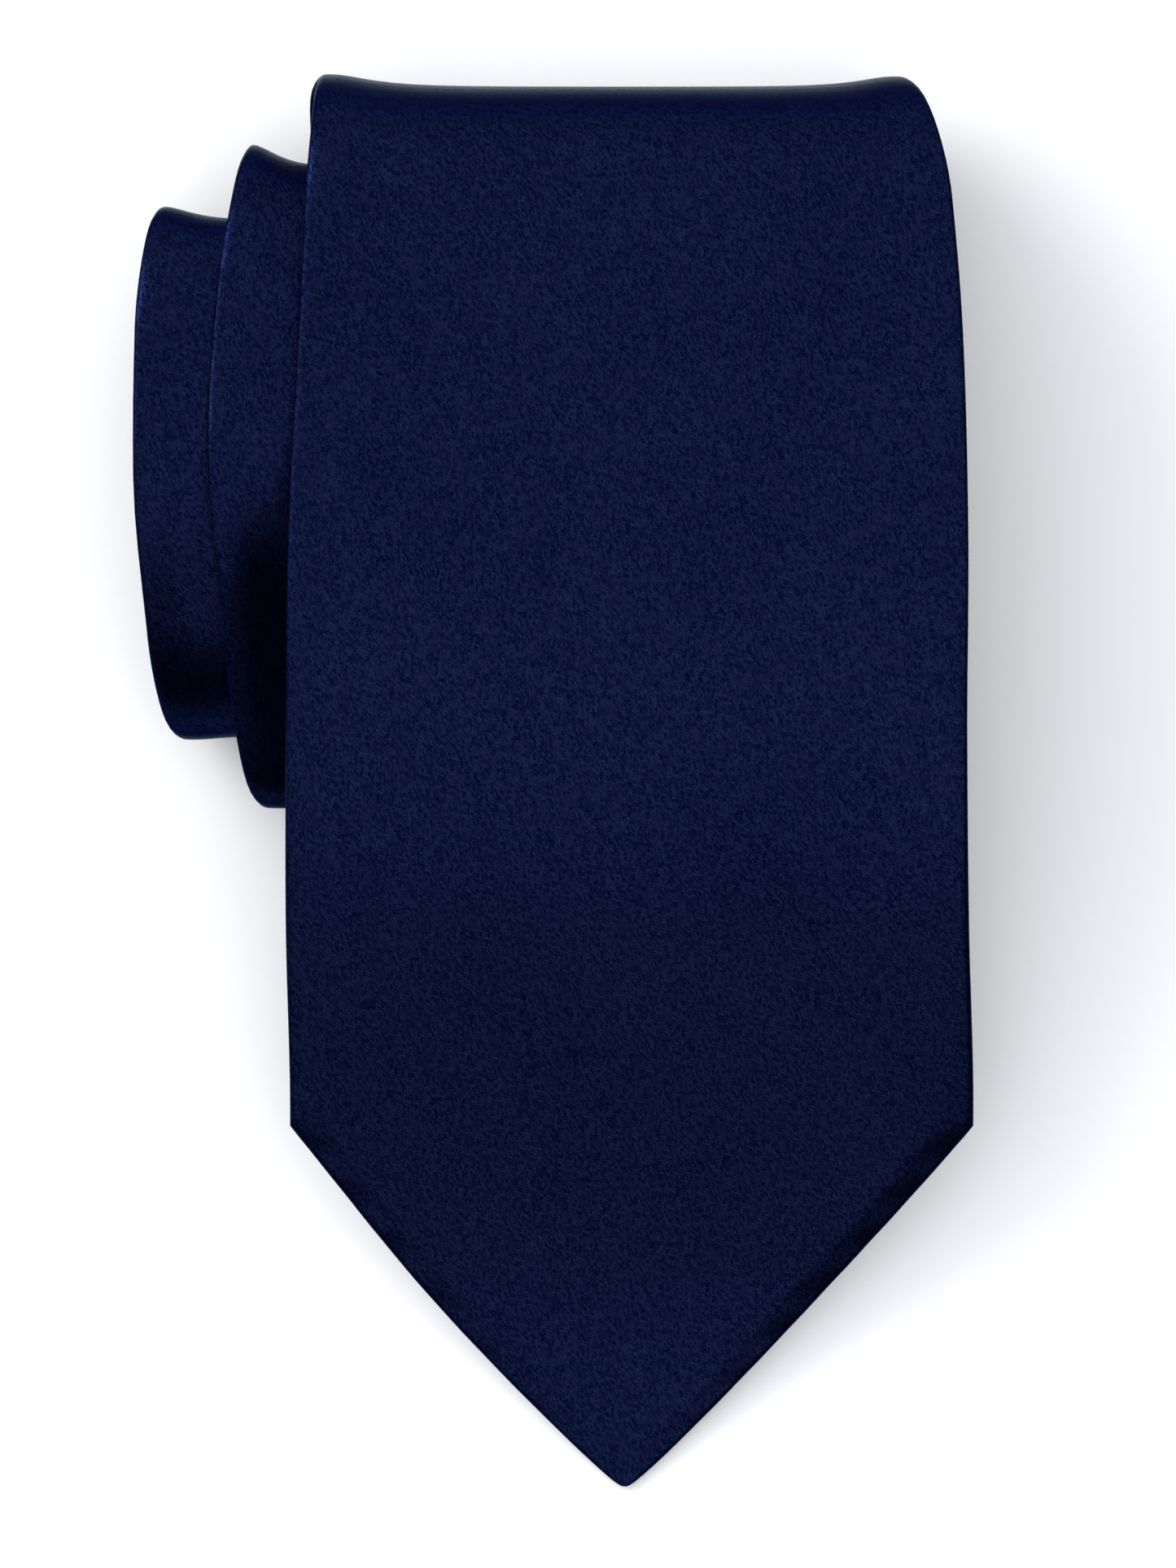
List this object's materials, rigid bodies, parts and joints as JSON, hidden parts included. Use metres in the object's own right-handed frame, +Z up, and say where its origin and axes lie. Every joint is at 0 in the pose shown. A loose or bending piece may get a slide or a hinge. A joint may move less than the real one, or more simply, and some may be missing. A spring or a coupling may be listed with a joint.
{
  "type": "necktie",
  "caption": "Necktie with a pointed satin blade, wound into a flattened roll: the blade unrolls over the far fold and the stepped core slides sideways.",
  "frame": {"origin": "under the middle of the rolled tie's bounding box, on the surface that it lies on", "axes": "+X across the blade, away from the stepped side of the roll; +Y from the blade's tip to the far fold; +Z up"},
  "size_m": [0.1046, 0.1752, 0.0344],
  "materials": {
    "navy_satin": "satin weave",
    "lining_cloth": "plain lining weave",
    "interlining_wool": "brushed wool",
    "navy_thread": "twisted thread",
    "label_cloth": "woven, blank",
    "care_cloth": "printed tape, blank"
  },
  "bodies": {
    "blade": {"blade_shell": "navy_satin", "interlining_blade": "interlining_wool", "blade_tipping": "lining_cloth", "slip_stitch_blade": "navy_thread", "blade_bar_tack": "navy_thread", "back_label": "label_cloth", "label_stitch_left": "navy_thread", "label_stitch_right": "navy_thread", "keeper_loop": "navy_satin", "keeper_stitch_left": "navy_thread", "keeper_stitch_right": "navy_thread"},
    "outer_turn": {"blade_shell_wrap": "navy_satin", "interlining_wrap": "interlining_wool", "slip_stitch_wrap": "navy_thread"},
    "core": {"blade_shell_core": "navy_satin", "neck_shell": "navy_satin", "tail_shell": "navy_satin", "interlining_core": "interlining_wool", "slip_stitch_core": "navy_thread", "tail_tipping": "lining_cloth", "neck_seam_thread": "navy_thread", "tail_seam_thread": "navy_thread", "tail_bar_tack": "navy_thread", "slip_stitch_spare_loop": "navy_thread", "care_label": "care_cloth", "care_label_stitch": "navy_thread"}
  },
  "joints": [
    {"name": "blade_unroll", "type": "hinge", "parent": "outer_turn", "child": "blade", "pos_m": [0.0083, 0.08778, 0.01722], "axis": [-1, 0, 0], "range_deg": [0, 178]},
    {"name": "core_telescope", "type": "slide", "parent": "outer_turn", "child": "core", "axis": [1, 0, 0], "range_m": [-0.015, 0.015]}
  ]
}
